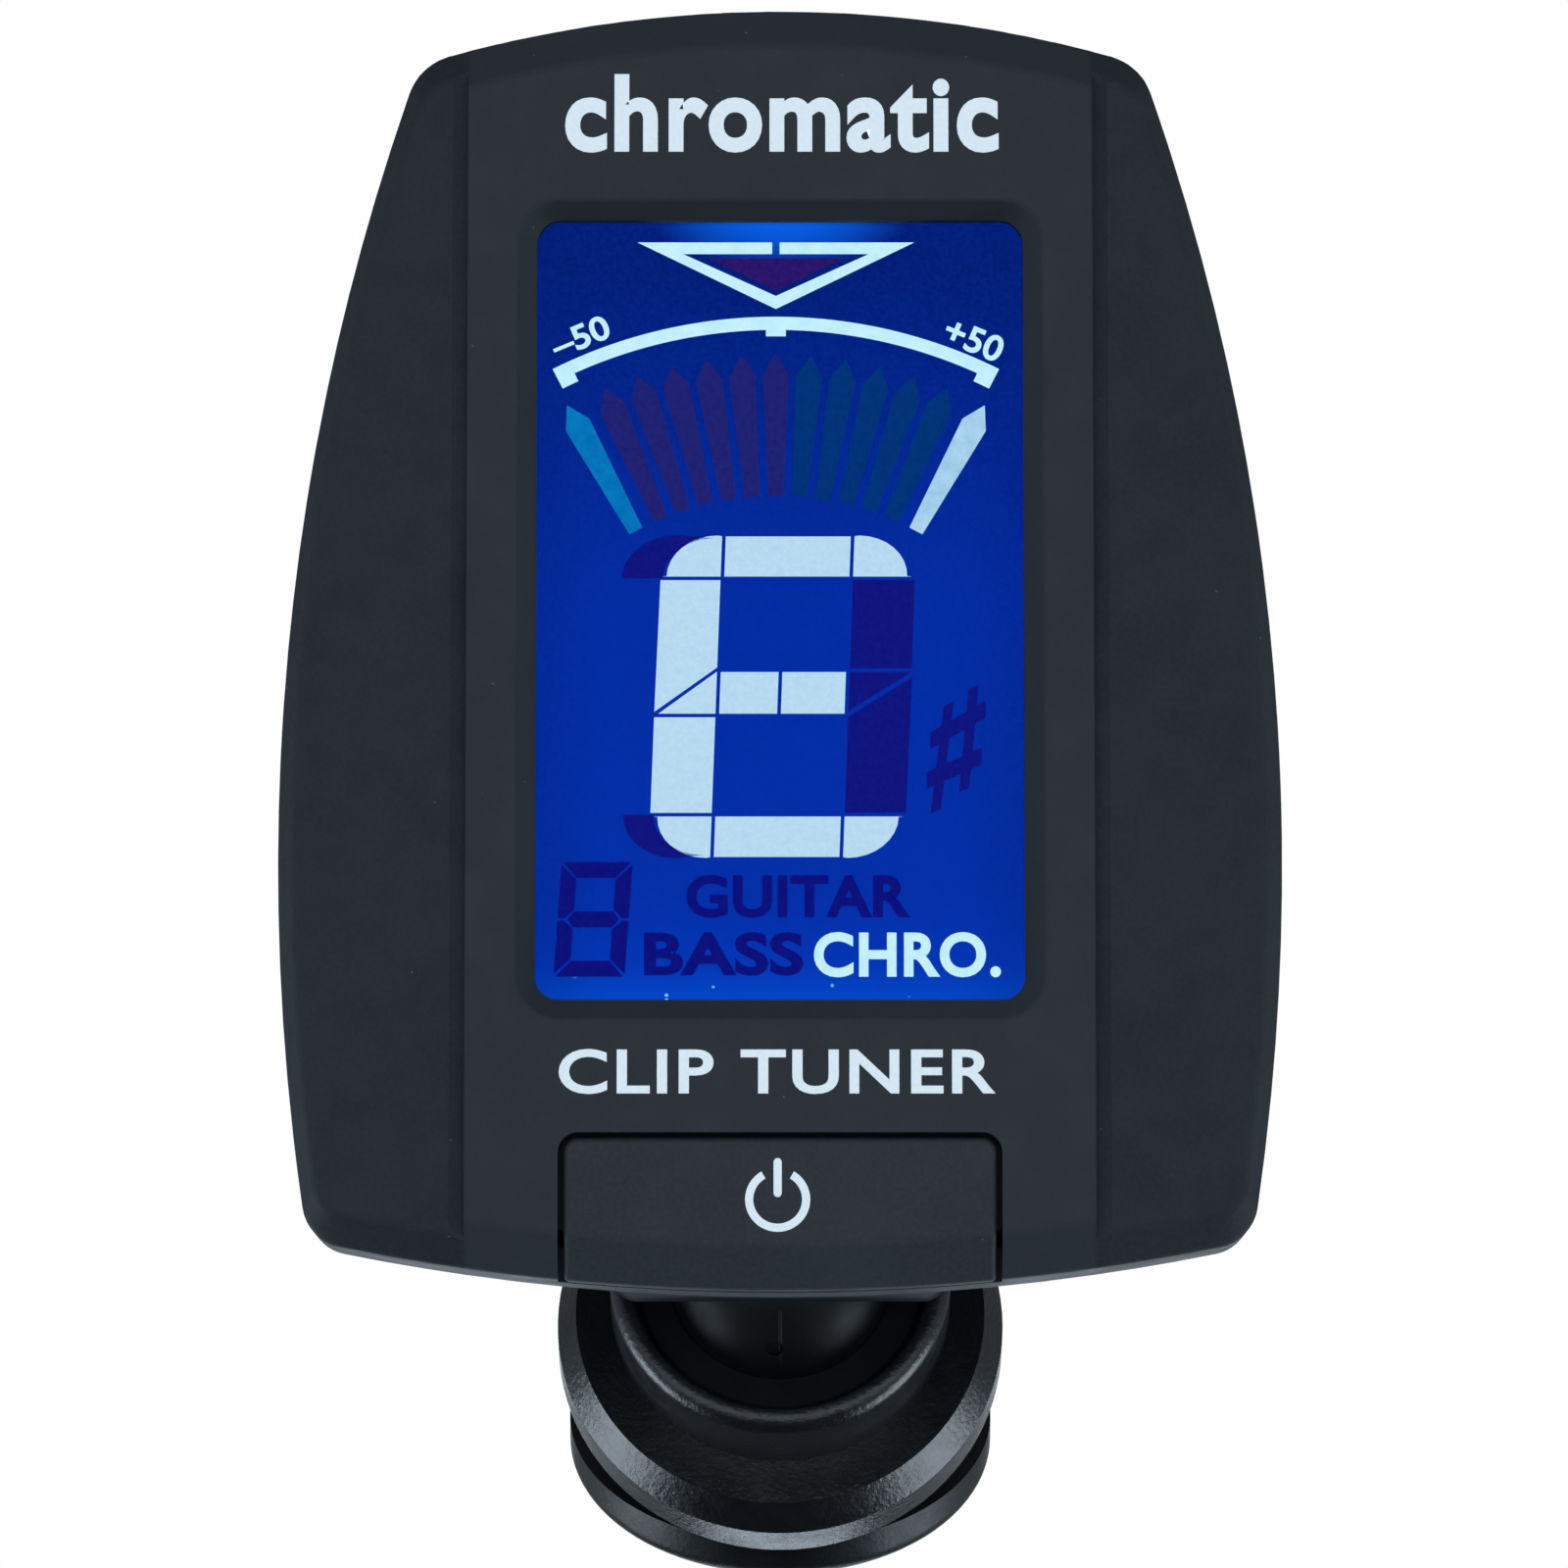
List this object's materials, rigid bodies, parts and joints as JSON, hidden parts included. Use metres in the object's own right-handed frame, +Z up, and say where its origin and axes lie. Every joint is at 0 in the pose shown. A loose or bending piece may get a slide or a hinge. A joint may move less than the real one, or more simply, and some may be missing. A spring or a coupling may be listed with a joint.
{
  "type": "clip-on tuner",
  "caption": "Clip-on instrument tuner: curved display housing with a backlit screen and power button, on a ball joint above a spring clip with padded jaws.",
  "frame": {"origin": "centre of the front jaw's grip pad, on its face", "axes": "+X to the right as the display is read, +Y from the display towards the clip, +Z up; the jaws lean back from +Z"},
  "size_m": [0.0422, 0.0539, 0.0644],
  "materials": {
    "housing_plastic": "soft-touch matt charcoal",
    "button_plastic": "soft-touch matt charcoal",
    "clip_plastic": "satin black, fine texture",
    "joint_plastic": "satin black acetal",
    "pad_rubber": "matt black rubber",
    "clear_lens": "clear polished",
    "lcd_glass": "blue negative display",
    "light_guide": "clear acrylic",
    "white_film": "white reflector film",
    "led_plastic": "white LED package",
    "zebra_rubber": "pink striped silicone",
    "board": "green solder mask",
    "chip_black": "moulded epoxy",
    "ceramic": "ceramic",
    "steel": "zinc-plated steel",
    "brass": "plated brass",
    "lead_wire": "red insulated wire",
    "stem_plastic": "red switch stem"
  },
  "bodies": {
    "clip": {"front_jaw": "clip_plastic", "front_pad": "pad_rubber", "hinge_pin": "steel", "torsion_spring": "steel"},
    "back_jaw": {"rear_jaw": "clip_plastic", "rear_pad": "pad_rubber"},
    "ball_seat": {"socket_bush": "joint_plastic"},
    "ball": {"ball_stud": "joint_plastic", "stud_washer": "steel", "stud_screw": "steel"},
    "display": {"front_shell": "housing_plastic", "rear_shell": "housing_plastic", "display_lens": "clear_lens", "lcd_panel": "lcd_glass", "light_guide": "light_guide", "reflector_sheet": "white_film", "backlight_led": "led_plastic", "zebra_connector": "zebra_rubber", "main_board": "board", "tuner_chip": "chip_black", "crystal": "steel", "capacitors": "ceramic", "resistors": "ceramic", "tact_switch": "chip_black", "piezo_sensor": "brass", "piezo_leads": "lead_wire", "coin_cell": "steel", "battery_contact_negative": "brass", "battery_contact_positive": "brass", "shell_screws": "steel", "board_screws": "steel"},
    "button": {"power_button": "button_plastic", "switch_plunger": "stem_plastic"},
    "door": {"battery_door": "housing_plastic"}
  },
  "joints": [
    {"name": "jaw_hinge", "type": "hinge", "parent": "clip", "child": "back_jaw", "pos_m": [0, 0.01, 0.01259], "axis": [1, 0, 0], "range_deg": [0, 45], "stiffness_Nm_per_rad": 0.02, "springref_deg": -11.46, "deforming": ["torsion_spring"]},
    {"name": "socket_swivel", "type": "hinge", "parent": "clip", "child": "ball_seat", "pos_m": [0, -0.00558, 0.00196], "axis": [0, -0.9659, 0.2588], "continuous": true},
    {"name": "ball_tilt", "type": "hinge", "parent": "ball_seat", "child": "ball", "pos_m": [0, -0.00558, 0.00196], "axis": [1, 0, 0], "range_deg": [-20, 20]},
    {"name": "stalk_spin", "type": "hinge", "parent": "ball", "child": "display", "pos_m": [0, -0.00558, 0.00196], "axis": [0, -0.9659, 0.2588], "continuous": true},
    {"name": "button_press", "type": "slide", "parent": "display", "child": "button", "axis": [0, 1, 0], "range_m": [0, 0.0004], "stiffness_N_per_m": 1500, "springref_m": -0.0003},
    {"name": "door_slide", "type": "slide", "parent": "display", "child": "door", "axis": [0, 0, 1], "range_m": [0, 0.03]}
  ]
}
